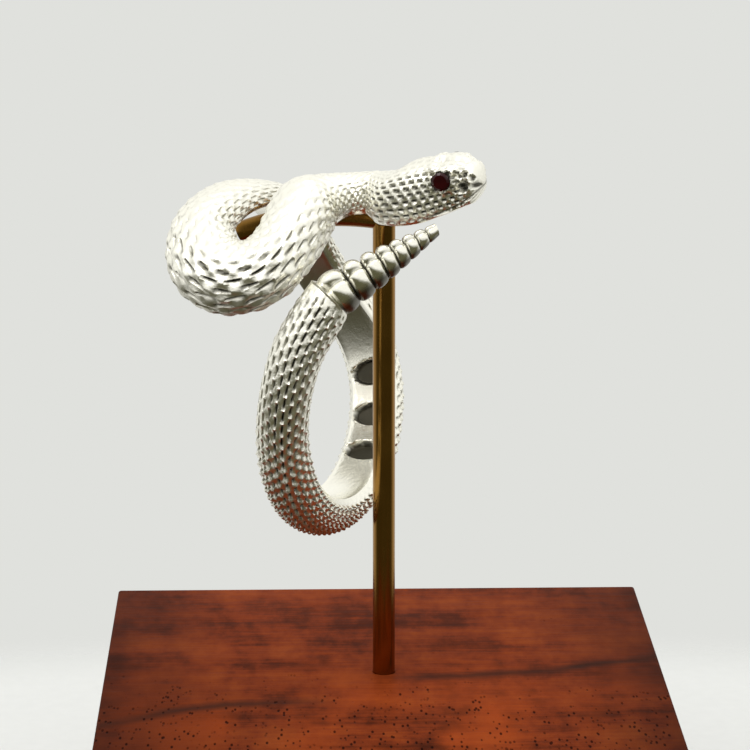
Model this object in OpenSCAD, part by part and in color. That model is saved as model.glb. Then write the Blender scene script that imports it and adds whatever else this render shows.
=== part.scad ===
// Snake wrap ring, cast in one piece, hung on the arm of a small display stand.
// The origin is the middle of the block's underside, +Z is up and -Y faces the viewer.

/* [Ring] */
// Inside diameter of the ring, across the finger
finger_d = 19; // [17:0.5:22]
// Width of the snake's body on the band
body_w = 3.6; // [3:0.1:4.2]
// Thickness of the snake's body on the band
body_t = 2.4; // [2:0.1:2.8]
// Height of the raised scales over the skin
scale_rise = 0.16; // [0.08:0.02:0.24]
// Depth of the oval recesses inside the band
recess_depth = 0.5; // [0.2:0.1:0.8]
// How far the ring is turned on the arm, seen from above
ring_turn = 21.4; // [10:0.2:30]

/* [Head] */
// Length of the head from neck to snout
head_l = 8; // [6.6:0.1:8.6]
// Width of the head over the jaws
head_w = 5; // [4.4:0.1:6]
// Height of the head over the jaws
head_t = 4.6; // [3.8:0.1:5]
// Diameter of the round eye stones
eye_d = 1.2; // [1:0.1:1.7]

/* [Rattle] */
// Length of the rattle
rattle_l = 8.1; // [6:0.1:9]
// Width of the rattle at its widest button
rattle_w = 3.2; // [2.8:0.1:4]
// Number of buttons on the rattle
rattle_n = 8; // [6:1:9]

/* [Stand] */
// Side of the square wooden block
block_w = 38; // [30:1:60]
// Thickness of the wooden block
block_t = 18; // [10:1:30]
// Diameter of the brass rod
rod_d = 1.5; // [1.2:0.1:2]
// Depth to which the post is set into the block
rod_set = 8; // [4:1:9]
// Height of the arm at the post over the block
post_h = 31.4; // [28:0.2:45]
// Length of the arm from the post's middle
arm_l = 10.4; // [8:0.1:12]
// Clear space between the band and the post
post_space = 0.85; // [0.5:0.05:2]
// Clearance between pieces that touch
gap = 0.12; // [0.08:0.02:0.2]

/* [Hidden] */
bore_r = finger_d / 2;
mid_r = bore_r + body_t / 2;
deg_per_mm = 180 / (PI * mid_r);

// Stations of the body from the rattle to the neck, one row each:
// degrees round the finger from the top towards the viewer, place along the finger in body
// widths, width in body widths, thickness and lift off the finger in body thicknesses
ROUND = 0;
ALONG = 1;
WIDE = 2;
THICK = 3;
LIFT = 4;
BODY = [
  [ 56,  0.91, 0.90, 1.06, 0.04],
  [ 60,  0.82, 0.92, 1.06, 0.02],
  [ 66,  0.66, 0.94, 1.02, 0.00],
  [ 75,  0.46, 0.94, 1.00, 0.00],
  [ 85,  0.32, 0.92, 1.00, 0.00],
  [ 97,  0.20, 0.92, 1.00, 0.00],
  [110,  0.12, 0.92, 1.00, 0.00],
  [125,  0.08, 0.94, 1.00, 0.00],
  [145,  0.06, 0.97, 1.00, 0.00],
  [165,  0.07, 0.99, 1.00, 0.00],
  [185,  0.10, 1.00, 1.00, 0.00],
  [205,  0.12, 1.00, 1.00, 0.00],
  [225,  0.10, 1.00, 1.00, 0.00],
  [245, -0.04, 1.00, 1.00, 0.00],
  [262, -0.34, 1.02, 1.00, 0.00],
  [276, -0.78, 1.04, 1.00, 0.00],
  [290, -1.22, 1.06, 0.96, 0.00],
  [308, -1.46, 1.12, 0.86, 0.00],
  [330, -1.52, 1.20, 0.74, 0.05],
  [350, -1.62, 1.24, 0.66, 0.13],
  [372, -1.82, 1.10, 0.82, 0.13],
  [390, -1.90, 1.12, 1.10, 0.05],
  [401, -1.72, 1.32, 1.26, 0.00],
  [408, -1.46, 1.36, 1.32, 0.00],
  [411, -1.07, 1.38, 1.32, 0.00],
  [410, -0.69, 1.34, 1.30, 0.00],
  [406, -0.40, 1.32, 1.28, 0.00],
  [399, -0.20, 1.26, 1.28, 0.03],
  [391, -0.09, 1.27, 1.36, 0.10],
  [380, -0.03, 1.29, 1.38, 0.24],
  [373,  0.18, 1.12, 1.12, 0.34],
  [368,  0.60, 0.88, 0.98, 0.42],
  [367,  1.05, 0.84, 1.06, 0.42]
];

// Stations of the head from the neck to the snout, one row each: place in head lengths,
// width in head widths, height and lift in head heights, degrees turned towards the viewer
HEAD_PLACE = 0;
HEAD_WIDE = 1;
HEAD_THICK = 2;
HEAD_LIFT = 3;
HEAD_TURN = 4;
HEAD = [
  [0.00, 0.60, 0.56, 0.22, 0],
  [0.10, 0.72, 0.62, 0.20, 2],
  [0.22, 0.90, 0.72, 0.18, 5],
  [0.36, 1.00, 0.83, 0.21, 6],
  [0.50, 0.96, 0.85, 0.26, 6],
  [0.62, 0.87, 0.79, 0.34, 6],
  [0.75, 0.77, 0.71, 0.43, 6],
  [0.88, 0.66, 0.59, 0.54, 6],
  [0.96, 0.56, 0.49, 0.60, 6],
  [1.00, 0.40, 0.36, 0.65, 6]
];

// Smooth curve through rows a, b, c and d, between b and c
function blend(a, b, c, d, f) =
  (2 * b + (c - a) * f + (2 * a - 5 * b + 4 * c - d) * f * f + (3 * b - a - 3 * c + d) * f * f * f) / 2;
function row_of(rows, k) = rows[min(max(k, 0), len(rows) - 1)];
function smooth_row(rows, t) =
  let (k = min(floor(t), len(rows) - 2), f = t - k)
  blend(row_of(rows, k - 1), row_of(rows, k), row_of(rows, k + 1), row_of(rows, k + 2), f);

// Rows in millimetres and degrees, in the same five columns for body and head
body_rows = [for (r = BODY) [r[ROUND], r[ALONG] * body_w, r[WIDE] * body_w, r[THICK] * body_t, r[LIFT] * body_t]];
neck = body_rows[len(body_rows) - 1];
tail = body_rows[0];

// The body's spline is walked in equal steps of length
FINE = 8;
fine_rows = [for (i = [0 : (len(body_rows) - 1) * FINE]) smooth_row(body_rows, i / FINE)];
function step_len(a, b) = norm([(b[ROUND] - a[ROUND]) / deg_per_mm, b[ALONG] - a[ALONG]]);
function walked(i, d) = i == len(fine_rows) - 1 ? [d] : concat([d], walked(i + 1, d + step_len(fine_rows[i], fine_rows[i + 1])));
walk = walked(0, 0);
body_l = walk[len(walk) - 1];
body_steps = 188;
columns = [for (c = [ROUND : LIFT]) [for (i = [0 : len(walk) - 1]) [walk[i], fine_rows[i][c]]]];
body_path = [for (i = [0 : body_steps]) [for (c = [ROUND : LIFT]) lookup(body_l * i / body_steps, columns[c])]];

// The rattle leaves the tail in a straight line, its buttons getting shorter towards the tip
rattle_aim = 43;
RATTLE_DEPTH = 0.85;
RATTLE_TAPER = 0.75;
RATTLE_LIFT = 0;
BUTTON_STEPS = 4;
BUTTON_DIP = 0.26;
BUTTON_SHORTENING = 0.9;
rattle_steps = BUTTON_STEPS * rattle_n;
// Share of the rattle's length reached after a share of its buttons
function button_place(f) =
  (sqrt(1 + 4 * BUTTON_SHORTENING * (1 + BUTTON_SHORTENING) * f) - 1) / (2 * BUTTON_SHORTENING);
function button_size(f) = 1 - BUTTON_DIP + BUTTON_DIP * sqrt(abs(sin(180 * rattle_n * f)));
function rattle_row(f) =
  let (
    u = button_place(f),
    far = rattle_l * u,
    up = far * sin(rattle_aim),
    wide = rattle_w * (1 - RATTLE_TAPER * (0.6 * u + 0.4 * u * u)) * button_size(f)
  )
  [
    tail[ROUND] - up * deg_per_mm,
    tail[ALONG] + far * cos(rattle_aim),
    wide,
    wide * RATTLE_DEPTH,
    tail[LIFT] + up * up / (2 * mid_r) + rattle_w * RATTLE_LIFT * u * u
  ];
rattle_path = [for (i = [rattle_steps : -1 : 1]) rattle_row(i / rattle_steps)];

// The head runs on along the finger from the neck
head_steps = 24;
function head_row(u) =
  let (shares = [for (c = [HEAD_PLACE : HEAD_TURN]) lookup_head(u, c)])
  [
    neck[ROUND] + shares[HEAD_TURN],
    neck[ALONG] + shares[HEAD_PLACE] * head_l,
    shares[HEAD_WIDE] * head_w,
    shares[HEAD_THICK] * head_t,
    neck[LIFT] + (shares[HEAD_LIFT] - HEAD[0][HEAD_LIFT]) * head_t
  ];
function lookup_head(u, c) = lookup(u, [for (i = [0 : (len(HEAD) - 1) * FINE]) let (r = smooth_row(HEAD, i / FINE)) [r[HEAD_PLACE], r[c]]]);
head_path = [for (i = [1 : head_steps]) head_row(i / head_steps)];

path = concat(rattle_path, body_path, head_path);
first_body = rattle_steps;
first_head = rattle_steps + body_steps + 1;

// One cross-section in half widths and thicknesses: a round back over a flat underside, widest
// at the waist, with the back running on RIM degrees past the sides
BACK = 17;
UNDER = 6;
RIM = 25;
WAIST = 0.38;
FOOT = 0.78;
function back_point(j) = let (turn = -RIM + j * (180 + 2 * RIM) / BACK) [cos(turn), WAIST + (1 - WAIST) * sin(turn)];
function under_point(j) = [FOOT * (2 * j / (UNDER - 1) - 1), 0];
section = concat([for (j = [0 : BACK]) back_point(j)], [for (j = [0 : UNDER - 1]) under_point(j)]);
ring_points = len(section);

// Each vertex is set off from the path, bent round the finger on the body and straight on the head
last = len(path) - 1;
SIDE_SPAN = 3;
function side_of(i) =
  let (a = path[max(i - SIDE_SPAN, 0)], b = path[min(i + SIDE_SPAN, last)], run = [(b[ROUND] - a[ROUND]) / deg_per_mm, b[ALONG] - a[ALONG]])
  [-run[1], run[0]] / norm(run);
function on_finger(turn, along, r) = [along, -r * sin(turn), r * cos(turn)];
function place(i, x, y) =
  let (
    p = path[i],
    side = side_of(i),
    r = bore_r + p[LIFT] + y,
    bend = i < first_body || i >= first_head ? 0 : 1,
    bent = on_finger(p[ROUND] + x * side[0] * deg_per_mm, p[ALONG] + x * side[1], r),
    flat = on_finger(p[ROUND], p[ALONG] + x * side[1], r) + on_finger(p[ROUND] + 90, 0, x * side[0])
  )
  bend * bent + (1 - bend) * flat;

// The head is squarer across than the body
HEAD_SQUARE = 0.7;
HEAD_BLEND = 6;
function across_of(i, s) =
  let (square = 1 - (1 - HEAD_SQUARE) * min(1, max(0, i - first_head) / HEAD_BLEND))
  sign(s[0]) * pow(abs(s[0]), square);

// The relief pushes each vertex out of the skin, or into it where the value is negative
HEAD_SCALES = 0.6;
function bump(d, r) = max(0, 1 - d / r);
function scales(i, j) =
  i <= first_body || j == 0 || j >= BACK || (i + j) % 2 == 1 ? 0 : scale_rise * (i >= first_head ? HEAD_SCALES : 1);
// Oval recesses in the band's inside face, by degrees round the finger, its lowest part left
// plain
RECESS_FIRST = 106;
RECESS_PITCH = 18;
RECESS_COUNT = 9;
RECESS_HALF = 5.4;
RECESS_WIDE = 0.4;
PLAIN_FROM = 150;
PLAIN_TO = 205;
function recess(i, x) =
  let (
    turn = path[i][ROUND] - RECESS_FIRST,
    k = min(max(round(turn / RECESS_PITCH), 0), RECESS_COUNT - 1),
    run = (turn - k * RECESS_PITCH) / RECESS_HALF,
    across = x / (body_w * RECESS_WIDE)
  )
  path[i][ROUND] > PLAIN_FROM && path[i][ROUND] < PLAIN_TO ? 0
    : recess_depth * sqrt(max(0, 1 - run * run - across * across));
// The buttons are parted by a groove down the middle of the rattle's back
PART_DEPTH = 0.2;
PART_WIDE = 0.35;
function part_line(i, s) = i >= first_body || s[1] < WAIST ? 0 : -PART_DEPTH * path[i][THICK] * bump(abs(s[0]), PART_WIDE);
// Eyes, heat pits and brows on the cheeks: places in head lengths, heights in thicknesses
EYE_AT = 0.70;
EYE_UP = 0.79;
EYE_OUT = 0.94;
EYE_TILT = 14;
PIT_AT = 0.89;
PIT_UP = 0.56;
BROW_UP = 0.98;
NOTCH_AT = 0.68;
CHEEK = 0.55;
socket_r = eye_d * 0.75;
socket_depth = eye_d * 0.55;
pit_r = eye_d * 0.58;
pit_depth = eye_d * 0.29;
brow_r = eye_d * 0.8;
brow_rise = eye_d * 0.45;
notch_r = eye_d * 0.58;
notch_depth = eye_d * 0.29;
// The mouth is a cut along the head's lower rims, from the snout back past the eyes
MOUTH_END = 0.5;
mouth_depth = head_t * 0.035;
function mouth(i, j) = i < first_head + head_steps * MOUTH_END || j % BACK > 0 ? 0 : -mouth_depth;
function from_spot(i, s, at, up) =
  norm([((i - first_head + 1) / head_steps - at) * head_l, (s[1] - up) * path[i][THICK]]);
function notch(i) = -notch_depth * bump(abs(((i - first_head + 1) / head_steps - NOTCH_AT) * head_l), notch_r);
function face(i, s) =
  i < first_head ? 0
    : abs(s[0]) < CHEEK ? (s[1] > WAIST ? notch(i) : 0)
    : brow_rise * bump(from_spot(i, s, EYE_AT, BROW_UP), brow_r)
      - socket_depth * bump(from_spot(i, s, EYE_AT, EYE_UP), socket_r)
      - pit_depth * bump(from_spot(i, s, PIT_AT, PIT_UP), pit_r);
function vertex(i, j) =
  let (
    s = section[j],
    out = [s[0], s[1] - WAIST] / norm([s[0], s[1] - WAIST]),
    x = across_of(i, s) * path[i][WIDE] / 2,
    rise = scales(i, j) + part_line(i, s) + face(i, s) + mouth(i, j),
    hollow = j > BACK ? recess(i, x) : 0
  )
  place(i, x + out[0] * rise, s[1] * path[i][THICK] + out[1] * rise + hollow);

snake_points = concat(
  [for (i = [0 : last]) for (j = [0 : ring_points - 1]) vertex(i, j)],
  [for (i = [0, last]) place(i, 0, path[i][THICK] / 2)]
);
// Each cell is split between its two low corners, so that every scale stands as a diamond
function cell(i, j) =
  (i + j) % 2 == 0
    ? [[corner(i, j), corner(i + 1, j), corner(i, j + 1)], [corner(i, j + 1), corner(i + 1, j), corner(i + 1, j + 1)]]
    : [[corner(i, j), corner(i + 1, j), corner(i + 1, j + 1)], [corner(i, j), corner(i + 1, j + 1), corner(i, j + 1)]];
function corner(i, j) = i * ring_points + j % ring_points;
tip_corner = len(path) * ring_points;
snout_corner = tip_corner + 1;
snake_faces = concat(
  [for (i = [0 : last - 1]) for (j = [0 : ring_points - 1]) each cell(i, j)],
  [for (j = [0 : ring_points - 1]) [tip_corner, corner(0, j), corner(0, j + 1)]],
  [for (j = [0 : ring_points - 1]) [snout_corner, corner(last, j + 1), corner(last, j)]]
);

// The ring hangs from its neck on the crest of the arm, with the post beside the band
BAND_SIDE = 0.12;
CREST = 0.55;
LOOP_SIDE = -1.09;
LOOP_LIFT = 0.13;
neck_lift = neck[LIFT];
post_side = body_w * (BAND_SIDE + 0.5) + post_space + rod_d / 2;
crest = post_side - body_w * CREST;
loop_reach = body_w * (CREST - LOOP_SIDE);
arm_bow = loop_reach * loop_reach / (2 * (neck_lift + gap - LOOP_LIFT * body_t));
crest_rise = arm_bow - sqrt(arm_bow * arm_bow - crest * crest);
arm_z = block_t + post_h;
ring_z = arm_z + crest_rise + rod_d / 2 + gap - bore_r - neck_lift;
module in_ring() { rotate([0, 0, -ring_turn]) translate([-post_side, 0, ring_z]) children(); }

module snake() {
  color("silver") in_ring() polyhedron(points = snake_points, faces = snake_faces, convexity = 8);
}
// A round stone with a table, a ring of crown facets, a girdle and a flat back, as shares of
// its diameter
TABLE = 0.62;
CROWN = 0.16;
GIRDLE = 0.06;
PAVILION = 0.28;
CULET = 0.3;
FACETS = 12;
module stone() {
  cylinder(h = eye_d * CROWN, d1 = eye_d, d2 = eye_d * TABLE, $fn = FACETS);
  translate([0, 0, -eye_d * GIRDLE]) cylinder(h = eye_d * GIRDLE, d = eye_d, $fn = FACETS);
  translate([0, 0, -eye_d * (GIRDLE + PAVILION)]) cylinder(h = eye_d * PAVILION, d1 = eye_d * CULET, d2 = eye_d, $fn = FACETS);
}
EYE_ROW = first_head - 1 + round(EYE_AT * head_steps);
module eye(side) {
  p = path[EYE_ROW];
  seat = place(EYE_ROW, side * (EYE_OUT * p[WIDE] / 2 + gap), EYE_UP * p[THICK]);
  color("firebrick") in_ring() translate(seat) rotate([p[ROUND] - side * (90 - EYE_TILT), 0, 0]) stone();
}
module eye_left() { eye(-1); }
module eye_right() { eye(1); }

// The arm is a rod bowed upwards, its crest under the snake's neck, soldered to the post by a
// small ball of solder
SOLDER = 1.1;
module arm() {
  translate([-crest, 0, crest_rise - arm_bow])
    rotate([90, 0, 0]) rotate([0, 0, 90 - asin(crest / arm_bow)])
      rotate_extrude(angle = (arm_l / arm_bow) * 180 / PI, $fn = 96) translate([arm_bow, 0]) circle(d = rod_d, $fn = 32);
}
module stand_post() {
  color("darkgoldenrod") union() {
    translate([0, 0, block_t - rod_set + gap]) cylinder(h = post_h + rod_set - gap, d = rod_d, $fn = 32);
    translate([0, 0, arm_z]) sphere(d = rod_d * SOLDER, $fn = 32);
    translate([0, 0, arm_z]) rotate([0, 0, -ring_turn]) arm();
  }
}
module stand_block() {
  color("sienna") difference() {
    translate([-block_w / 2, -block_w / 2, 0]) cube([block_w, block_w, block_t]);
    translate([0, 0, block_t - rod_set]) cylinder(h = rod_set + 1, d = rod_d + 2 * gap, $fn = 32);
  }
}

snake();
eye_left();
eye_right();
stand_post();
stand_block();
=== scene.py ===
# A silver rattlesnake ring hung on a small brass and rosewood display stand.
import math

import bmesh
import bpy
from mathutils import Matrix, Vector


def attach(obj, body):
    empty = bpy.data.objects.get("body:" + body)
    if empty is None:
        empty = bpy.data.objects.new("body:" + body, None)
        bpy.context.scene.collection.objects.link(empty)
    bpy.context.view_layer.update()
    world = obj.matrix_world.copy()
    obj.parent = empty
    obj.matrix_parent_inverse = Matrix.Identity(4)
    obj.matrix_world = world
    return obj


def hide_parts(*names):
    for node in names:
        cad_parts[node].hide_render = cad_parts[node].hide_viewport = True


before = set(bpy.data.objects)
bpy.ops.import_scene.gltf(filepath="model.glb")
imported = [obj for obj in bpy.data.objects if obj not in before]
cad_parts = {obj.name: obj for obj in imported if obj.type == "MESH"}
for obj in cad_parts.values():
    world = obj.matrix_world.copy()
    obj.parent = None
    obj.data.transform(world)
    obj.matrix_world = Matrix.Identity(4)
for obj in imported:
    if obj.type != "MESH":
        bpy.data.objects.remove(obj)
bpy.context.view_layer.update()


# The snake
# The real ring is one lost-wax casting in sterling silver, barrel-frosted outside and rubbed to
# a satin where it touches the finger. Rattle, body, hairpin loop, crown, neck and head run on
# from each other, so they are one skin here too, drawn round one path.

# sizes in millimetres and degrees; the gap is what a seated piece stands clear by
MM = 0.001
FINGER = 19.0
BODY_W = 3.6
BODY_T = 2.4
RING_TURN = 21.4
POST_TOP = 49.4
ROD = 1.5
GAP = 0.12
POST_SPACE = 0.85
bore = FINGER / 2
mid = bore + BODY_T / 2
deg_per_mm = 180 / (math.pi * mid)

# degrees round the finger, place along it and width in body widths, thickness and lift in
# body thicknesses
BODY = [
    (56, 0.91, 0.90, 1.06, 0.04),
    (60, 0.82, 0.92, 1.06, 0.02),
    (66, 0.66, 0.94, 1.02, 0.00),
    (75, 0.46, 0.94, 1.00, 0.00),
    (85, 0.32, 0.92, 1.00, 0.00),
    (97, 0.20, 0.92, 1.00, 0.00),
    (110, 0.12, 0.92, 1.00, 0.00),
    (125, 0.08, 0.94, 1.00, 0.00),
    (145, 0.06, 0.97, 1.00, 0.00),
    (165, 0.07, 0.99, 1.00, 0.00),
    (185, 0.10, 1.00, 1.00, 0.00),
    (205, 0.12, 1.00, 1.00, 0.00),
    (225, 0.10, 1.00, 1.00, 0.00),
    (245, -0.04, 1.00, 1.00, 0.00),
    (262, -0.34, 1.02, 1.00, 0.00),
    (276, -0.78, 1.04, 1.00, 0.00),
    (290, -1.22, 1.06, 0.96, 0.00),
    (308, -1.46, 1.12, 0.86, 0.00),
    (330, -1.52, 1.20, 0.74, 0.05),
    (350, -1.62, 1.24, 0.66, 0.13),
    (372, -1.82, 1.10, 0.82, 0.13),
    (390, -1.90, 1.12, 1.10, 0.05),
    (401, -1.72, 1.32, 1.26, 0.00),
    (408, -1.46, 1.36, 1.32, 0.00),
    (411, -1.07, 1.38, 1.32, 0.00),
    (410, -0.69, 1.34, 1.30, 0.00),
    (406, -0.40, 1.32, 1.28, 0.00),
    (399, -0.20, 1.26, 1.28, 0.03),
    (391, -0.09, 1.27, 1.36, 0.10),
    (380, -0.03, 1.29, 1.38, 0.24),
    (373, 0.18, 1.12, 1.12, 0.34),
    (368, 0.60, 0.88, 0.98, 0.42),
    (367, 1.05, 0.84, 1.06, 0.42),
]
# place in head lengths, width in head widths, height and lift in head heights, degrees turned
HEAD_L = 8.0
HEAD_W = 5.0
HEAD_T = 4.6
HEAD = [
    (0.00, 0.60, 0.56, 0.22, 0),
    (0.10, 0.72, 0.62, 0.20, 2),
    (0.22, 0.90, 0.72, 0.18, 5),
    (0.36, 1.00, 0.83, 0.21, 6),
    (0.50, 0.96, 0.85, 0.26, 6),
    (0.62, 0.87, 0.79, 0.34, 6),
    (0.75, 0.77, 0.71, 0.43, 6),
    (0.88, 0.66, 0.59, 0.54, 6),
    (0.96, 0.56, 0.49, 0.60, 6),
    (1.00, 0.40, 0.36, 0.65, 6),
]
# the rattle tapers on a slight curve to a quarter of its width, its thickness is given in widths,
# it is aimed upwards from the finger, and its buttons shorten to the tip
RATTLE_L = 8.1
RATTLE_W = 3.2
RATTLE_T = 0.85
RATTLE_TAPER = 0.75
TAPER_CURVE = 0.4
RATTLE_AIM = 43
BUTTONS = 8
SHORTENING = 0.9


def spline(rows, t):
    """One row between the rows of a table, on a smooth curve through them."""
    k = min(int(t), len(rows) - 2)
    f = t - k
    a, b, c, d = (rows[min(max(k + n, 0), len(rows) - 1)] for n in (-1, 0, 1, 2))
    return [
        (2 * q + (r - p) * f + (2 * p - 5 * q + 4 * r - s) * f * f + (3 * q - p - 3 * r + s) * f**3) / 2
        for p, q, r, s in zip(a, b, c, d)
    ]


def at(table, x):
    """Linear reading of a table whose first column rises."""
    low, high = 0, len(table) - 1
    while high - low > 1:
        half = (low + high) // 2
        if table[half][0] <= x:
            low = half
        else:
            high = half
    a, b = table[low], table[high]
    f = min(max((x - a[0]) / (b[0] - a[0]), 0), 1)
    return [p + (q - p) * f for p, q in zip(a, b)]


body_rows = [(r[0], r[1] * BODY_W, r[2] * BODY_W, r[3] * BODY_T, r[4] * BODY_T) for r in BODY]
tail_row = body_rows[0]
neck_row = body_rows[-1]


def button_place(f):
    """Share of the rattle's length after a share of its buttons, which shorten to the tip."""
    return (math.sqrt(1 + 4 * SHORTENING * (1 + SHORTENING) * f) - 1) / (2 * SHORTENING)


def rattle_row(u):
    """The rattle's row at a share of its length, before its buttons swell."""
    up = RATTLE_L * u * math.sin(math.radians(RATTLE_AIM))
    wide = RATTLE_W * (1 - RATTLE_TAPER * ((1 - TAPER_CURVE) * u + TAPER_CURVE * u * u))
    return (
        tail_row[0] - up * deg_per_mm,
        tail_row[1] + RATTLE_L * u * math.cos(math.radians(RATTLE_AIM)),
        wide,
        wide * RATTLE_T,
        tail_row[4] + up * up / (2 * mid),
    )


def head_row(row):
    """One row of the head's table in the body's columns."""
    return (
        neck_row[0] + row[4],
        neck_row[1] + row[0] * HEAD_L,
        row[1] * HEAD_W,
        row[2] * HEAD_T,
        neck_row[4] + (row[3] - HEAD[0][3]) * HEAD_T,
    )


# the whole centre line: distance from the rattle's tip, then the five columns
RATTLE_STEPS = 40
CURVE_STEPS = 8
line = []
for n in range(RATTLE_STEPS + 1):
    u = 1 - n / RATTLE_STEPS
    line.append((RATTLE_L * (1 - u), *rattle_row(u)))
walked = RATTLE_L
previous = tail_row
for n in range(1, (len(body_rows) - 1) * CURVE_STEPS + 1):
    row = spline(body_rows, n / CURVE_STEPS)
    walked += math.hypot((row[0] - previous[0]) / deg_per_mm, row[1] - previous[1])
    line.append((walked, *row))
    previous = row
body_end = walked
for n in range(1, (len(HEAD) - 1) * CURVE_STEPS + 1):
    row = spline(HEAD, n / CURVE_STEPS)
    line.append((body_end + row[0] * HEAD_L, *head_row(row)))
snake_end = line[-1][0]
# the path's direction is taken over this much of it each way
SIDE_REACH = 1.3


def side_at(d):
    """Unit direction across the path, as millimetres round and along the finger."""
    a = at(line, max(d - SIDE_REACH, 0))
    b = at(line, min(d + SIDE_REACH, snake_end))
    run = ((b[1] - a[1]) / deg_per_mm, b[2] - a[2])
    size = math.hypot(*run)
    return -run[1] / size, run[0] / size


def on_finger(turn, along, r):
    """A point by degrees round the finger, place along it and distance from its middle."""
    angle = math.radians(turn)
    return Vector((along, -r * math.sin(angle), r * math.cos(angle)))


# the neck rests on the arm's crest and the loop passes over the arm, with the upright beside the
# band; their places along the finger in body widths, and the loop's lift in thicknesses
BAND_SIDE = 0.62
CREST_SIDE = 0.55
LOOP_REACH = 1.64
LOOP_LIFT = 0.13
neck_lift = neck_row[4]
post_side = BODY_W * BAND_SIDE + POST_SPACE + ROD / 2
crest = post_side - BODY_W * CREST_SIDE
arm_bow = (BODY_W * LOOP_REACH) ** 2 / (2 * (neck_lift + GAP - LOOP_LIFT * BODY_T))
crest_rise = arm_bow - math.sqrt(arm_bow**2 - crest**2)
ring_z = POST_TOP + crest_rise + ROD / 2 + GAP - bore - neck_lift
in_ring = (
    Matrix.Scale(MM, 4)
    @ Matrix.Rotation(math.radians(-RING_TURN), 4, "Z")
    @ Matrix.Translation((-post_side, 0, ring_z))
)


def ramp(x, low, high):
    """Smooth step from 0 at low to 1 at high."""
    f = min(max((x - low) / (high - low), 0), 1)
    return f * f * (3 - 2 * f)


def between(x, start, full, still_full, end):
    """1 from full to still_full, falling smoothly to 0 at start and at end."""
    return ramp(x, start, full) * (1 - ramp(x, still_full, end))


def skin_point(row, side, x, y, bend):
    """The point x across and y out from the path at a row, bent round the finger or straight."""
    r = bore + row[5] + y
    bent = on_finger(row[1] + x * side[0] * deg_per_mm, row[2] + x * side[1], r)
    flat = on_finger(row[1], row[2] + x * side[1], r) + on_finger(row[1] + 90, 0, x * side[0])
    return flat.lerp(bent, bend)


STEP_OUT = 0.1


def facing_up(row, side, x, y, out, bend):
    """How far the skin faces up at a point of it, from -1 to 1."""
    outside = skin_point(row, side, x + out.x * STEP_OUT, y + out.y * STEP_OUT, bend)
    step = outside - skin_point(row, side, x, y, bend)
    return step.z / STEP_OUT


# the section: points over the scaly back, then over the flat face towards the finger; degrees
# that the back turns in below its widest place, that place's height in thicknesses, and the
# half width at which the flat face starts to rise
BACK = 82
FACE = 18
AROUND = BACK + FACE
RIM = 25
WAIST = 0.38
FOOT = 0.78


def section(j, chin):
    """Half widths across and thicknesses up at point j; chin rounds the flat face into a jaw."""
    if j <= BACK:
        turn = math.radians(-RIM + j * (180 + 2 * RIM) / BACK)
        return math.cos(turn), WAIST + (1 - WAIST) * math.sin(turn)
    f = (j - BACK) / FACE
    edge = math.cos(math.radians(RIM))
    low = WAIST - (1 - WAIST) * math.sin(math.radians(RIM))
    across = -edge + 2 * edge * f
    flat = low * ramp(abs(across), FOOT, edge)
    round_off = low * (abs(across) / edge) ** 2
    return across, flat + (round_off - flat) * chin


# the scales stand in staggered rows along the snake, with a cut between neighbours in a row;
# a scale's length holds so many stations
SCALE_RISE = 0.12
CUT_DEPTH = 0.20
PER_SCALE = 8
# distance along the snake, a scale's length there, rows over the back, half a cut's length in
# scale lengths, how far each scale swells, and the share of the cuts' depth and of their painted shade
SCALE_ROWS = [
    (0, 0.84, 13, 0.40, 0.30, 1.0),
    (16, 0.84, 14, 0.40, 0.40, 1.0),
    (20, 0.82, 14, 0.36, 1.20, 1.0),
    (32, 0.80, 14, 0.35, 1.25, 1.0),
    (44, 0.80, 15, 0.34, 1.00, 0.9),
    (54, 0.88, 15, 0.33, 0.70, 0.6),
    (62, 1.00, 16, 0.32, 0.60, 0.35),
    (70, 1.15, 17, 0.32, 0.60, 0.4),
    (74, 1.25, 18, 0.33, 0.80, 0.9),
    (77, 1.25, 18, 0.33, 0.95, 1.2),
    (81, 1.15, 18, 0.30, 0.85, 0.9),
    (85, 0.90, 18, 0.25, 0.60, 0.4),
    (89, 0.70, 19, 0.28, 0.45, 0.25),
    (91, 0.66, 20, 0.30, 0.40, 0.6),
    (93, 0.66, 21, 0.32, 0.35, 1.2),
    (99, 0.66, 21, 0.32, 0.35, 1.2),
]
# one scale: how far a row stands off the next and a cut slants, in scale lengths and widths, then
# the heights of its plain face, its crown and the waves between cuts, and the cut's depth
STAGGER = 0.5
CUT_SLANT = 0.16
PLAIN = 0.30
CROWN = 0.35
CROWN_OWN = 0.15
CROWN_SWOLLEN = 0.30
WAVE = 0.5
CUT = 1.3


def scales(run, column, cut_half, swell, cut_wide):
    """Height of the scales, below 0 in a cut and highest on a swollen crown, and the cut's painted shade.
    """
    near = round(column)
    beside = column - near
    in_row = run - near * STAGGER
    along = (in_row + 0.5) % 1 - 0.5
    # each scale is a little higher or lower than the next, by its place alone
    own = math.sin(math.floor(in_row) * 12.9 + near * 78.2) * 437.5 % 1
    slant = abs(beside + CUT_SLANT * along)
    cut = 1 - ramp(abs(along), cut_half - 0.06, cut_half + 0.07)
    cut *= 1 - ramp(slant, 0.02, cut_wide)
    # the crown is highest midway between two cuts, and one of its slopes is fuller
    crown = max(0.0, 1 - (0.5 - abs(along)) / (0.16 + 0.34 * swell))
    crown = crown * (2 - crown) * math.cos(math.pi * beside) ** 2
    steeper = 1 + 0.35 * swell * math.copysign(ramp(0.5 - abs(along), 0.0, 0.3), along)
    wave = -math.cos(math.pi * beside) * math.cos(2 * math.pi * along)
    domed = (CROWN + CROWN_OWN * own + CROWN_SWOLLEN * swell * swell) * crown * steeper
    return PLAIN + domed + WAVE * swell * swell * wave - CUT * cut, cut


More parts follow.
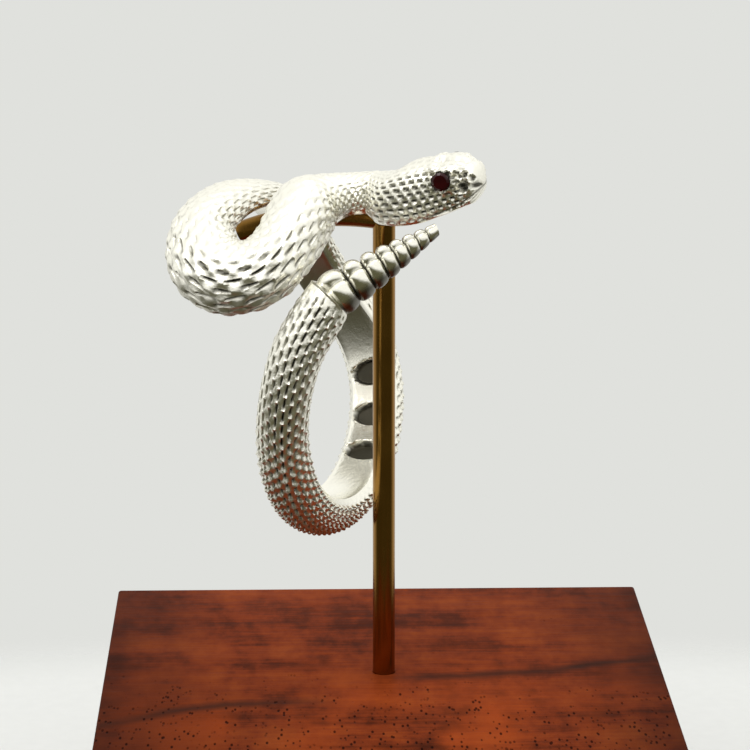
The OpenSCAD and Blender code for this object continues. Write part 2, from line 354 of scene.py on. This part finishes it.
# recesses that lighten the band, by degrees round the finger, with its lowest part left plain;
# half their length is in degrees and half their width in body widths
RECESS_FIRST = 106
RECESS_PITCH = 18
RECESS_COUNT = 9
PLAIN_FROM = 150
PLAIN_TO = 205
RECESS_LONG = 5.4
RECESS_WIDE = 0.4
RECESS_WALL = 0.24
RECESS_DEPTH = 0.5
# how much painted shade the band's back gets inside, and the degrees over which it comes and goes
INSIDE_SHADE = 0.5
INSIDE_SHADE_SPAN = (252, 263, 320, 340)


def recess(turn, x):
    """Depth of the oval pocket at a place on the face towards the finger."""
    if PLAIN_FROM < turn < PLAIN_TO:
        return 0.0
    k = min(max(round((turn - RECESS_FIRST) / RECESS_PITCH), 0), RECESS_COUNT - 1)
    run = (turn - RECESS_FIRST - k * RECESS_PITCH) / RECESS_LONG
    across = x / (BODY_W * RECESS_WIDE)
    return RECESS_DEPTH * ramp(1 - math.hypot(run, across), 0, RECESS_WALL)


# the stations along the skin: distance from the rattle's tip, and the share of the buttons still
# to come or, on the snout's rounded end, the share left of its width
BUTTON_STATIONS = 10
HEAD_STATIONS = 112
SNOUT_STATIONS = 8
SNOUT_ROUND = 0.6
SNOUT_TURN = 84
stations = []
first_body = BUTTONS * BUTTON_STATIONS
for n in range(first_body):
    f = 1 - n / first_body
    stations.append((RATTLE_L * (1 - button_place(f)), f))
walked = RATTLE_L
body_distances = [walked]
while walked < body_end:
    walked += at(SCALE_ROWS, walked)[1] / PER_SCALE
    body_distances.append(walked)
squeeze = (body_end - RATTLE_L) / (walked - RATTLE_L)
stations.extend((RATTLE_L + (d - RATTLE_L) * squeeze, 0) for d in body_distances)
first_head = len(stations)
for n in range(1, HEAD_STATIONS + 1):
    stations.append((body_end + n * (HEAD_L - SNOUT_ROUND) / HEAD_STATIONS, 0))
for n in range(1, SNOUT_STATIONS + 1):
    turn = math.radians(SNOUT_TURN * n / SNOUT_STATIONS)
    stations.append((snake_end - SNOUT_ROUND * (1 - math.sin(turn)), math.cos(turn)))

# the eyes' seats: place in head lengths, height in thicknesses, distance out in half widths,
# degrees tilted up, and the stone's width
EYE_AT = 17 / 24
EYE_UP = 0.79
EYE_OUT = 0.94
EYE_TILT = 14
EYE_D = 1.2
# pockets in the cheek: place in head lengths, height in thicknesses, radius and depth
PIT = (0.875, 0.60, 0.40, 0.32)
NOSTRIL = (0.965, 0.60, 0.26, 0.25)
PLATE_GAPS = [(0.885, 0.86, 0.16, 0.15), (0.945, 0.80, 0.19, 0.15)]
POCKET_RIM = 0.10
# the mouth's line in head lengths and thicknesses, and the lip that swells below it
MOUTH = [(0.48, 0.10), (0.62, 0.14), (0.76, 0.17), (0.85, 0.20), (0.92, 0.26), (0.97, 0.36), (1.00, 0.46)]
MOUTH_HALF = 0.12
MOUTH_DEPTH = 0.14
LIP_BELOW = 0.2
LIP_HALF = 0.14
LIP_RISE = 0.06
# the dip over the top of the head in head lengths, and the half width at which the cheek starts
DIP_AT = 0.66
DIP_HALF = 0.085
DIP_DEPTH = 0.16
CHEEK = 0.35
# how much squarer across the head is than the body
HEAD_SQUARE = 0.3

eye_along = body_end + EYE_AT * HEAD_L
eye_row = at(line, eye_along)
eye_side = side_at(eye_along)
head_up = on_finger(eye_row[1], 0, 1)
eye_seats = {}
for hand in (-1, 1):
    eye_across = hand * (EYE_OUT * eye_row[3] / 2 + GAP)
    seat = skin_point(eye_row, eye_side, eye_across, EYE_UP * eye_row[4], 0)
    lean = Matrix.Rotation(math.radians(eye_row[1] - hand * (90 - EYE_TILT)), 4, "X")
    eye_seats[hand] = (seat, lean)


def squared(across, u):
    """A place across the section, pushed out where the head is squarer than the body."""
    power = 1 - HEAD_SQUARE * min(1, max(0, u * 4))
    return math.copysign(abs(across) ** power, across)


def pocket(u, s, thick, mark):
    """Push and painted shade of a round pocket with a raised rim, at its mark on the cheek."""
    place, height, radius, depth = mark
    spot = math.hypot((u - place) * HEAD_L, (s[1] - height) * thick)
    rim = POCKET_RIM * max(0, 1 - abs(spot - radius * 1.2) / (radius * 0.45))
    hollow = 1 - ramp(spot, radius * 0.6, radius)
    return rim - depth * hollow, 1 - ramp(spot, radius * 0.5, radius * 0.9)


def face_relief(u, s, thick):
    """Rise and painted shade of the pits, nostrils, mouth and the dip over the top of the head."""
    rise = -DIP_DEPTH * (1 - ramp(abs(u - DIP_AT), 0.0, DIP_HALF)) * ramp(s[1], 0.86, 0.98)
    dark = 0.0
    if abs(s[0]) > CHEEK:
        for mark in (PIT, NOSTRIL, *PLATE_GAPS):
            push, shade = pocket(u, s, thick, mark)
            rise += push
            dark = max(dark, 0.9 * shade)
        if u > MOUTH[0][0]:
            gap = (s[1] - at(MOUTH, u)[1]) * thick
            slit = max(0, 1 - abs(gap) / MOUTH_HALF)
            lip = max(0, 1 - abs(gap + LIP_BELOW) / LIP_HALF)
            rise += LIP_RISE * lip - MOUTH_DEPTH * slit
            dark = max(dark, 0.8 * slit)
    return rise, dark


# round the stone, from its seat: how deep its own side of the head goes, where the socket's
# floor, the bezel and the brow stand, how far the brow may be pushed out and lifted, the socket's
# painted shade, and the height at which the brows are cut off
OWN_SIDE = -1.6
SOCKET_FLOOR = -0.60
BEZEL_TOP = -0.02
BEZEL_HOLD = 0.8
BROW_OUT = 0.30
BROW_PUSH = 0.42
BROW_LIFT = 0.12
SOCKET_SHADE = 0.25
BROW_TOP = 54.48


def eye_setting(point):
    """Moves a point of the head to form the eye's socket, its bezel and the brow over it."""
    for hand, (seat, lean) in eye_seats.items():
        local = lean.inverted() @ (point - seat)
        if local.z < OWN_SIDE:
            continue
        up = -hand * local.y
        r = math.hypot(local.x, local.y)
        brow = between(up, 0.42, 0.56, 0.75, 1.25) * (1 - ramp(abs(local.x - 0.1), 0.75, 1.4))
        socket = (1 - ramp(r, 0.57, 0.65)) * (1 - ramp(up, 0.44, 0.52))
        bezel = (1 - ramp(r, 0.70, 1.05)) * (1 - socket) * (1 - ramp(up, 0.3, 0.5))
        push = (SOCKET_FLOOR - local.z) * socket
        push += (BEZEL_TOP - local.z) * bezel * BEZEL_HOLD
        push += min(max(0, BROW_OUT - local.z), BROW_PUSH) * brow * (1 - socket)
        lift = between(up, 0.40, 0.62, 1.1, 1.9) * (1 - ramp(abs(local.x), 0.7, 1.5))
        moved = point + lean.to_3x3() @ Vector((0, 0, push)) + head_up * (BROW_LIFT * lift)
        return moved, SOCKET_SHADE * socket
    return point, 0.0


# how far a button narrows at its waist, where the tip's whole end starts, the cleft between a
# button's two lobes, how far the snout's end drops and the head's scales lie in, and how smoothly
# each face is rubbed
BUTTON_WAIST = 0.74
WHOLE_TIP = 0.93
CLEFT_DEPTH = 0.17
CLEFT_HALF = 0.2
SNOUT_DROP = 0.45
HEAD_SINK = 0.05
RATTLE_SMOOTH = 0.9
INSIDE_SMOOTH = 0.7
JAW_SMOOTH = 0.3
# every point of the skin, with how dark its painted shade makes it and how smooth
points = []
groove = []
polish = []
for i, (d, f) in enumerate(stations):
    row = at(line, d)
    side = side_at(d)
    on_rattle = i < first_body
    on_head = i >= first_head
    if on_head and f:
        drop = row[4] * SNOUT_DROP * (1 - f)
        row = (d, row[1], row[2], row[3] * f, row[4] * f, row[5] + drop)
    u = (d - body_end) / HEAD_L
    bend = between(d, RATTLE_L - 0.2, RATTLE_L + 1, body_end - 1, body_end + 0.2)
    wide, thick = row[3], row[4]
    button = abs(math.sin(math.pi * BUTTONS * f))
    if on_rattle:
        swell = BUTTON_WAIST + (1 - BUTTON_WAIST) * math.sqrt(button)
        swell += (1 - swell) * ramp(f, WHOLE_TIP, 1)
        wide, thick = wide * swell, thick * swell
    chin = ramp(u, 0.0, 0.3) if on_head else 0
    for step in range(AROUND + 1):
        # a row's last point is its first again, so that the seam closes
        j = step % AROUND
        s = section(j, chin)
        x = squared(s[0], u) * wide / 2
        y = s[1] * thick
        out = Vector((s[0], s[1] - WAIST)).normalized()
        rise = 0.0
        dark = 0.0
        if on_rattle:
            shine = RATTLE_SMOOTH
            # the rattle gets painted shade in the cleft along its buttons' tops, in the grooves between
            # buttons and on its faces turned down
            if s[1] > WAIST:
                rise = -CLEFT_DEPTH * thick * math.exp(-((s[0] / CLEFT_HALF) ** 2))
                rise *= 1 - ramp(f, 0.96, 1)
                dark = 0.3 * math.exp(-((s[0] / 0.13) ** 2))
            dark = max(dark, 0.8 * (1 - ramp(button, 0.0, 0.22)))
            dark *= 1 - ramp(f, WHOLE_TIP, 0.98)
            down = -facing_up(row, side, x, y, out, bend)
            dark = max(dark, 0.85 * ramp(down, 0.20, 0.45))
        elif j <= BACK:
            rows, cut_half, swell_up, deep = at(SCALE_ROWS, d)[2:]
            edge = ramp(min(j, BACK - j) / BACK * rows, 0, 1)
            reach = edge * ramp(d, RATTLE_L, RATTLE_L + 1.0) * (1 - ramp(u, 0.84, 0.95))
            run = -(i - first_body) / PER_SCALE
            column = (j / BACK - 0.5) * rows
            cut_wide = max(0.22, (1.3 if on_head else 1.2) * rows / BACK)
            high, dark = scales(run, column, cut_half, swell_up, cut_wide)
            # the cuts are rubbed shallow where the casting faces up, and their painted shade fades there
            up = facing_up(row, side, x, y, out, bend)
            rubbed_and_lit = ramp(up, 0.2, 0.9)
            raised = SCALE_RISE * (1 - 0.6 * rubbed_and_lit) * max(high, 0)
            sunk = CUT_DEPTH * deep * (1 - 0.75 * rubbed_and_lit) * min(high, 0)
            rise = reach * (raised + sunk) * (0.8 if on_head else 1)
            in_cut = dark * min(deep, 1) * (1 - 0.88 * rubbed_and_lit)
            # faces turned down get painted shade as well
            dark = max(in_cut, 0.30 * ramp(-up, 0.1, 0.8)) * reach
            shine = 1 - edge
            if on_head:
                more, mark = face_relief(u, s, thick)
                rise += more - HEAD_SINK
                dark = max(dark, mark)
        else:
            hollow = recess(row[1], x)
            y += hollow
            # painted shade darkens the recesses, and stands in for a dark reflection on the band's back
            # inside from the uppermost recess upwards
            inside_shade = INSIDE_SHADE * between(row[1], *INSIDE_SHADE_SPAN)
            dark = max(0.95 * ramp(hollow, 0.08, 0.4), inside_shade)
            shine = JAW_SMOOTH if on_head else INSIDE_SMOOTH
        point = skin_point(row, side, x + out.x * rise, y + out.y * rise, bend)
        if on_head and s[1] > WAIST * 0.6:
            point, mark = eye_setting(point)
            # in the socket the skin keeps half its own painted shade or takes the socket's
            dark = max(dark * (1 if mark == 0 else 0.5), mark)
        placed = in_ring @ point
        placed.z = min(placed.z, BROW_TOP * MM)
        points.extend(placed)
        groove.append(dark)
        polish.append(shine)

# a sheet of small cells is laid round the path, closed along its seam and capped at both ends
SKIN_CREASE = 38
bpy.ops.object.select_all(action="DESELECT")
bpy.ops.mesh.primitive_grid_add(x_subdivisions=AROUND, y_subdivisions=len(stations) - 1, size=1)
snake = bpy.context.object
snake.name = "snake_ring"
snake.data.vertices.foreach_set("co", points)
for name, values in (("groove", groove), ("polish", polish)):
    layer = snake.data.attributes.new(name, "FLOAT", "POINT")
    layer.data.foreach_set("value", values)
bpy.ops.object.mode_set(mode="EDIT")
bpy.ops.mesh.select_all(action="SELECT")
bpy.ops.mesh.remove_doubles(threshold=0.0000001)
bpy.ops.mesh.fill_holes(sides=AROUND)
bpy.ops.mesh.select_all(action="SELECT")
bpy.ops.mesh.normals_make_consistent(inside=False)
bpy.ops.object.mode_set(mode="OBJECT")
bpy.ops.object.shade_smooth_by_angle(angle=math.radians(SKIN_CREASE))
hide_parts("snake")
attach(snake, "root")


def colour(text):
    """Linear colour from a web colour."""
    parts = [int(text[n : n + 2], 16) / 255 for n in (0, 2, 4)]
    return (*[((c + 0.055) / 1.055) ** 2.4 if c > 0.04045 else c / 12.92 for c in parts], 1)


class Socket:
    """A node's output, with arithmetic that adds Math nodes."""

    def __init__(self, tree, link):
        self.tree = tree
        self.link = link

    def node(self, kind, settings=None, stops=None, output=0, **sockets):
        """A new node's output; an underscore before a number names a socket by its place."""
        made = self.tree.nodes.new(kind)
        for name, value in (settings or {}).items():
            setattr(made, name, value)
        if stops:
            ends = made.color_ramp.elements
            while len(ends) < len(stops):
                ends.new(0.5)
            for stop, (place, shade) in zip(ends, stops):
                stop.position = place
                stop.color = colour(shade)
        for name, value in sockets.items():
            key = int(name[1:]) if name[0] == "_" else name.replace("_", " ")
            if isinstance(value, Socket):
                self.tree.links.new(value.link, made.inputs[key])
            else:
                made.inputs[key].default_value = value
        return Socket(self.tree, made.outputs[output])

    def part(self, output):
        """Another output of the same node."""
        return Socket(self.tree, self.link.node.outputs[output])

    def noise(self, scale, detail, **more):
        """Noise over the space that this socket gives."""
        return self.node("ShaderNodeTexNoise", Vector=self, Scale=scale, Detail=detail, **more)

    def stretched(self, scale, **more):
        """This space, stretched or squeezed along its axes."""
        return self.node("ShaderNodeMapping", Vector=self, Scale=scale, **more)

    def fade(self, low, high, at_low, at_high):
        """A smooth step between two values as this socket goes from low to high."""
        return self.node(
            "ShaderNodeMapRange",
            {"interpolation_type": "SMOOTHSTEP"},
            Value=self,
            From_Min=low,
            From_Max=high,
            To_Min=at_low,
            To_Max=at_high,
        )

    def maths(self, operation, a, b=0.0):
        return self.node("ShaderNodeMath", {"operation": operation}, _0=a, _1=b)

    def __add__(self, other):
        return self.maths("ADD", self, other)

    def __sub__(self, other):
        return self.maths("SUBTRACT", self, other)

    def __rsub__(self, other):
        return self.maths("SUBTRACT", other, self)

    def __mul__(self, other):
        return self.maths("MULTIPLY", self, other)

    def __pow__(self, other):
        return self.maths("POWER", self, other)

    __radd__ = __add__
    __rmul__ = __mul__

    def clamp(self):
        return self.node("ShaderNodeClamp", Value=self)

    def mix(self, a, b):
        return self.node("ShaderNodeMix", {"data_type": "RGBA"}, output=2, _0=self, _6=a, _7=b)


def material(name, **fixed):
    """A new Principled material, the place on the object, and a function that feeds its shader."""
    made = bpy.data.materials.new(name)
    made.use_nodes = True
    tree = made.node_tree
    shader = tree.nodes["Principled BSDF"]
    for key, value in fixed.items():
        shader.inputs[key.replace("_", " ")].default_value = value

    def feed(socket, value):
        tree.links.new(value.link, shader.inputs[socket])

    return made, Socket(tree, None).node("ShaderNodeTexCoord", output=3), feed


silver, place, feed = material("frosted_silver", Metallic=1.0)
low = place.node("ShaderNodeAttribute", {"attribute_name": "groove"}, output=2)
bright = place.node("ShaderNodeAttribute", {"attribute_name": "polish"}, output=2)
grain = place.noise(9000.0, 3.0)
cloud = place.noise(260.0, 2.0)
lumps = place.noise(3600.0, 2.0)
# the silver darkens towards olive with the skin's painted shade, and its tone wavers a little at random
tone = (low + (cloud - 0.5) * 0.06).clamp()
feed("Base Color", tone.mix(colour("F8F6EA"), colour("282310")))
feed("Roughness", (0.34 - bright * 0.14 + low * 0.15 + (grain - 0.5) * 0.14).clamp())
cast = (grain * 0.6 + lumps) * (1.2 - bright).clamp()
feed("Normal", place.node("ShaderNodeBump", Strength=0.6, Distance=0.00005, Height=cast))
snake.data.materials.clear()
snake.data.materials.append(silver)


# The eye stones
# Dark red garnets, round and brilliant cut, 1.2 mm across, each pushed into its socket with
# the table outwards and held by the silver burnished over its girdle.

# facets round the girdle, then shares of the stone's width
FACETS = 16
GIRDLE = 0.06
TABLE_IN = 0.12
TABLE_RISE = 0.07
CULET_IN = 0.35
CULET_DROP = 0.26
STONE_SINK = 0.09
garnet, place, feed = material("garnet", Roughness=0.05, IOR=1.76, Specular_IOR_Level=0.15)
depth = place.noise(1500.0, 2.0)
feed("Base Color", depth.mix(colour("160104"), colour("3E060D")))
for hand, node in ((-1, "eye_left"), (1, "eye_right")):
    seat, lean = eye_seats[hand]
    bpy.ops.object.select_all(action="DESELECT")
    bpy.ops.mesh.primitive_cylinder_add(vertices=FACETS, radius=EYE_D / 2, depth=EYE_D * GIRDLE)
    stone = bpy.context.object
    stone.name = node.replace("eye", "eye_stone")
    cut = bmesh.new()
    cut.from_mesh(stone.data)
    for top, inset, rise in ((1, TABLE_IN, TABLE_RISE), (-1, CULET_IN, -CULET_DROP)):
        cap = [f for f in cut.faces if f.normal.z * top > 0.9]
        bmesh.ops.inset_individual(cut, faces=cap, thickness=EYE_D * inset)
        for v in cap[0].verts:
            v.co.z += EYE_D * rise
    cut.to_mesh(stone.data)
    cut.free()
    deeper = Matrix.Translation((0, 0, -EYE_D * STONE_SINK))
    stone.data.transform(in_ring @ Matrix.Translation(seat) @ lean @ deeper)
    stone.data.materials.clear()
    stone.data.materials.append(garnet)
    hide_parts(node)
    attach(stone, "root")


# The rod
# A brass rod of 1.5 mm, drawn and lightly toned. The arm is the same rod bowed upwards and
# soldered to the upright's top.
BLOCK_T = 18.0
ROD_SET = 8.0
ARM_L = 10.4
ROD_SIDES = 48
SOLDER_D = ROD * 1.1
ARM_STEPS = 40
ROD_CREASE = 40
foot = BLOCK_T - ROD_SET + GAP
bpy.ops.object.select_all(action="DESELECT")
bpy.ops.mesh.primitive_cylinder_add(
    vertices=ROD_SIDES,
    radius=ROD / 2 * MM,
    depth=(POST_TOP - foot) * MM,
    location=(0, 0, (POST_TOP + foot) / 2 * MM),
)
post = bpy.context.object
bpy.ops.object.transform_apply(location=True, rotation=True, scale=True)
bpy.ops.mesh.primitive_uv_sphere_add(
    segments=ROD_SIDES,
    ring_count=ROD_SIDES // 2,
    radius=SOLDER_D / 2 * MM,
    location=(0, 0, POST_TOP * MM),
)
solder = bpy.context.object
bpy.ops.object.transform_apply(location=True, rotation=True, scale=True)
# a disc at the arm's near end is spun round the bow's middle
bow_middle = Vector((-crest, 0, crest_rise - arm_bow)) * MM
lean_in = math.asin(crest / arm_bow)
arm_start = bow_middle + Vector((math.sin(lean_in), 0, math.cos(lean_in))) * arm_bow * MM
bpy.ops.mesh.primitive_circle_add(
    vertices=ROD_SIDES,
    radius=ROD / 2 * MM,
    fill_type="NGON",
    location=arm_start,
    rotation=(0, math.radians(90) + lean_in, 0),
)
arm = bpy.context.object
bpy.ops.object.transform_apply(location=True, rotation=True, scale=True)
bpy.ops.object.mode_set(mode="EDIT")
bpy.ops.mesh.select_all(action="SELECT")
bpy.ops.mesh.spin(steps=ARM_STEPS, angle=ARM_L / arm_bow, center=bow_middle, axis=(0, 1, 0))
bpy.ops.mesh.select_all(action="SELECT")
bpy.ops.mesh.fill_holes(sides=ROD_SIDES)
bpy.ops.object.mode_set(mode="OBJECT")
arm.rotation_euler[2] = math.radians(-RING_TURN)
arm.location = (0, 0, POST_TOP * MM)
bpy.ops.object.transform_apply(location=True, rotation=True, scale=True)
for piece in (post, solder, arm):
    piece.select_set(True)
bpy.context.view_layer.objects.active = post
bpy.ops.object.join()
rod = bpy.context.object
rod.name = "brass_rod"
bpy.ops.object.mode_set(mode="EDIT")
bpy.ops.mesh.select_all(action="SELECT")
bpy.ops.mesh.normals_make_consistent(inside=False)
bpy.ops.object.mode_set(mode="OBJECT")
bpy.ops.object.shade_smooth_by_angle(angle=math.radians(ROD_CREASE))
brass, place, feed = material("toned_brass", Metallic=1.0)
lines = place.stretched((1.0, 1.0, 0.02)).noise(9000.0, 3.0)
stain = place.noise(350.0, 4.0)
feed("Base Color", stain.mix(colour("865F2C"), colour("A47D3E")))
feed("Roughness", (0.20 + (lines - 0.5) * 0.14 + (stain - 0.5) * 0.14).clamp())
feed("Normal", place.node("ShaderNodeBump", Strength=0.12, Distance=0.00002, Height=lines))
rod.data.materials.clear()
rod.data.materials.append(brass)
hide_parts("stand_post")
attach(rod, "root")


# The block
# A square block of oiled rosewood, sawn across a board and sanded, its arrises just broken,
# with a hole drilled in the middle for the rod. Dark streaks and open pores run with the grain.
BLOCK_W = 38.0
HOLE_SPARE = 0.03
HOLE_SIDES = 64
BROKEN_EDGE = 0.2
EDGE_STEPS = 4
BLOCK_CREASE = 30
bpy.ops.object.select_all(action="DESELECT")
bpy.ops.mesh.primitive_cube_add(
    size=1,
    location=(0, 0, BLOCK_T / 2 * MM),
    scale=(BLOCK_W * MM, BLOCK_W * MM, BLOCK_T * MM),
)
block = bpy.context.object
block.name = "rosewood_block"
bpy.ops.object.transform_apply(location=True, rotation=True, scale=True)
bpy.ops.mesh.primitive_cylinder_add(
    vertices=HOLE_SIDES,
    radius=(ROD / 2 + HOLE_SPARE) * MM,
    depth=ROD_SET * 2 * MM,
    location=(0, 0, BLOCK_T * MM),
)
drill = bpy.context.object
bpy.context.view_layer.objects.active = block
edges = block.modifiers.new("broken_edges", "BEVEL")
edges.width = BROKEN_EDGE * MM
edges.segments = EDGE_STEPS
bpy.ops.object.modifier_apply(modifier="broken_edges")
hole = block.modifiers.new("hole", "BOOLEAN")
hole.object = drill
hole.operation = "DIFFERENCE"
hole.solver = "EXACT"
bpy.ops.object.modifier_apply(modifier="hole")
bpy.data.objects.remove(drill)
bpy.ops.object.select_all(action="DESELECT")
block.select_set(True)
bpy.ops.object.shade_smooth_by_angle(angle=math.radians(BLOCK_CREASE))
wood, place, feed = material("rosewood", Specular_IOR_Level=0.006)
# millimetres along the grain and in from the front, whose near half is paler and more open
parts = place.node("ShaderNodeSeparateXYZ", Vector=place)
along = parts.part(0) * 1000.0
deep = parts.part(1) * 1000.0
near_front = ((4.0 - deep) * 0.06).clamp()
figure = place.stretched((0.22, 1.0, 1.0), Rotation=(0.0, 0.0, 0.06)).noise(210.0, 5.0, Roughness=0.6)
wobble = place.noise(150.0, 3.0)
fibre = place.stretched((0.10, 1.0, 1.0)).noise(3200.0, 4.0)
mottle_space = place.stretched((1.0, 0.45, 1.0))
mottle = mottle_space.noise(420.0, 6.0, Roughness=0.65)
patches = mottle_space.noise(130.0, 3.0)


def vein(middle, height, bow, left, right):
    """A dark vein that bows along the board between two ends, in millimetres."""
    run = along - middle
    off = deep - height - run * run * bow - (wobble - 0.5) * 2.6
    ends = ((along - left) * 0.25).clamp() * ((right - along) * 0.25).clamp()
    return (1.15 - (off * off) ** 0.5 * 1.1).clamp() * ends * (0.25 + wobble)


veins = vein(3.0, -1.4, 0.017, -1.0, 30.0) + vein(-4.0, -6.2, -0.018, -30.0, -3.0)
pore_space = place.stretched((1.0, 0.32, 1.0))
pores = place.node("ShaderNodeTexVoronoi", Vector=pore_space, Scale=3000.0, Randomness=1.0)
scatter = place.noise(380.0, 2.0)
open_grain = ((scatter * 0.9 + near_front * 0.36 - 0.63) * 7.0).clamp()
pore = (1 - (pores - 0.17) * 7.0).clamp() * open_grain
tone = place.node(
    "ShaderNodeValToRGB",
    stops=[(0.28, "220E07"), (0.42, "4D1F0E"), (0.50, "722F15"), (0.57, "823A18"), (0.72, "964A20")],
    Fac=(figure * 0.45 + mottle * 0.40 + fibre * 0.15).clamp(),
)
glow = ((patches - 0.46) * 5.0).clamp() * (0.15 + near_front * 1.1)
sides = (((along * along) ** 0.5 - 10.0) * 0.11).clamp()
left_front = ((-2.0 - along) * 0.07).clamp() * near_front
tone = (glow * 0.6).clamp().mix(tone, colour("A04418"))
tone = (left_front * 0.45).mix(tone, colour("38180E"))
tone = (sides * 0.7 * (0.3 + wobble * 1.4)).clamp().mix(tone, colour("2E150E"))
tone = (veins * 0.85).clamp().mix(tone, colour("2B1A14"))
tone = (pore * 0.85).mix(tone, colour("180806"))
feed("Base Color", tone)
feed("Roughness", (0.52 + (fibre - 0.5) * 0.25 + pore * 0.2).clamp())
relief = fibre * 0.4 - pore
feed("Normal", place.node("ShaderNodeBump", Strength=0.5, Distance=0.00008, Height=relief))
block.data.materials.clear()
block.data.materials.append(wood)
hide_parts("stand_block")
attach(block, "root")


# The table top and the light
# A pale table top whose edge melts into a pale grey surround, and soft light from above. Places
# and sizes here are in metres.
TABLE_W = 0.30
bpy.ops.object.select_all(action="DESELECT")
bpy.ops.mesh.primitive_plane_add(size=TABLE_W)
table_top = bpy.context.object
table_top.name = "table_top"
table_top.visible_glossy = False
paper, place, feed = material("pale_paper", Roughness=0.9, Specular_IOR_Level=0.1)
parts = place.node("ShaderNodeSeparateXYZ", Vector=place)
# the table top fades out between two rounded squares, given in millimetres from its middle
FADE_FROM = 50.0
FADE_TO = 64.0
reach = ((parts.part(0) * 1000) ** 4 + (parts.part(1) * 1000) ** 4) ** 0.25
fleck = place.noise(900.0, 3.0)
feed("Base Color", fleck.mix(colour("D6D7D5"), colour("DCDDDB")))
feed("Alpha", reach.fade(FADE_FROM, FADE_TO, 1.0, 0.0))
table_top.data.materials.append(paper)

# the eye sees a plain pale surround, while the silver mirrors one that is bright above and behind
# and dark low in front
world = bpy.data.worlds.new("surround")
bpy.context.scene.world = world
world.use_nodes = True
tree = world.node_tree
tree.nodes.clear()
way = Socket(tree, None).node("ShaderNodeTexCoord", output=0)
parts = way.node("ShaderNodeSeparateXYZ", Vector=way)
back = parts.part(1).fade(-0.30, 0.45, 0.0, 0.75)
sky = parts.part(2).fade(-0.10, 0.32, 0.0, 1.0)
level = (back + sky * (1 - back)).clamp()
glow = level.mix((0.098, 0.094, 0.050, 1), (1.06, 1.06, 1.035, 1))
seen = way.node("ShaderNodeLightPath", output=0)
pale = seen.mix(glow, colour("E0E1DD"))
background = way.node("ShaderNodeBackground", Color=pale, Strength=1.0)
output = tree.nodes.new("ShaderNodeOutputWorld")
tree.links.new(background.link, output.inputs[0])

# two soft lamps, aimed at the ring: place, size and watts
LIT_SPOT = Vector((0, 0, 0.04))
for name, spot, size, watts in (
    ("key", (-0.14, -0.12, 0.30), 0.12, 0.22),
    ("top", (0.05, 0.06, 0.34), 0.20, 0.10),
):
    lamp = bpy.data.lights.new(name, "AREA")
    lamp.size = size
    lamp.energy = watts
    lamp_object = bpy.data.objects.new(name, lamp)
    lamp_object.location = spot
    lamp_object.rotation_euler = (LIT_SPOT - Vector(spot)).to_track_quat("-Z", "Y").to_euler()
    bpy.context.scene.collection.objects.link(lamp_object)

# the camera stands a little above the ring and looks down at the block, barely to its left
CAMERA_PLACE = Vector((-0.0006, -0.215, 0.0912))
FOCAL_PX = 3320
PHOTO_PX = 750
SENSOR = 36
LOOK_DOWN = 13.7
AIM = math.radians(-1.43)
camera_data = bpy.data.cameras.new("camera")
camera_data.sensor_width = SENSOR
camera_data.lens = SENSOR * FOCAL_PX / PHOTO_PX
camera_data.clip_start = 0.01
camera_data.clip_end = 10
camera = bpy.data.objects.new("camera", camera_data)
camera.location = Matrix.Rotation(AIM, 4, "Z") @ CAMERA_PLACE
camera.rotation_euler = (math.radians(90 - LOOK_DOWN), 0, AIM)
bpy.context.scene.collection.objects.link(camera)
bpy.context.scene.camera = camera
bpy.context.scene.view_settings.view_transform = "Standard"
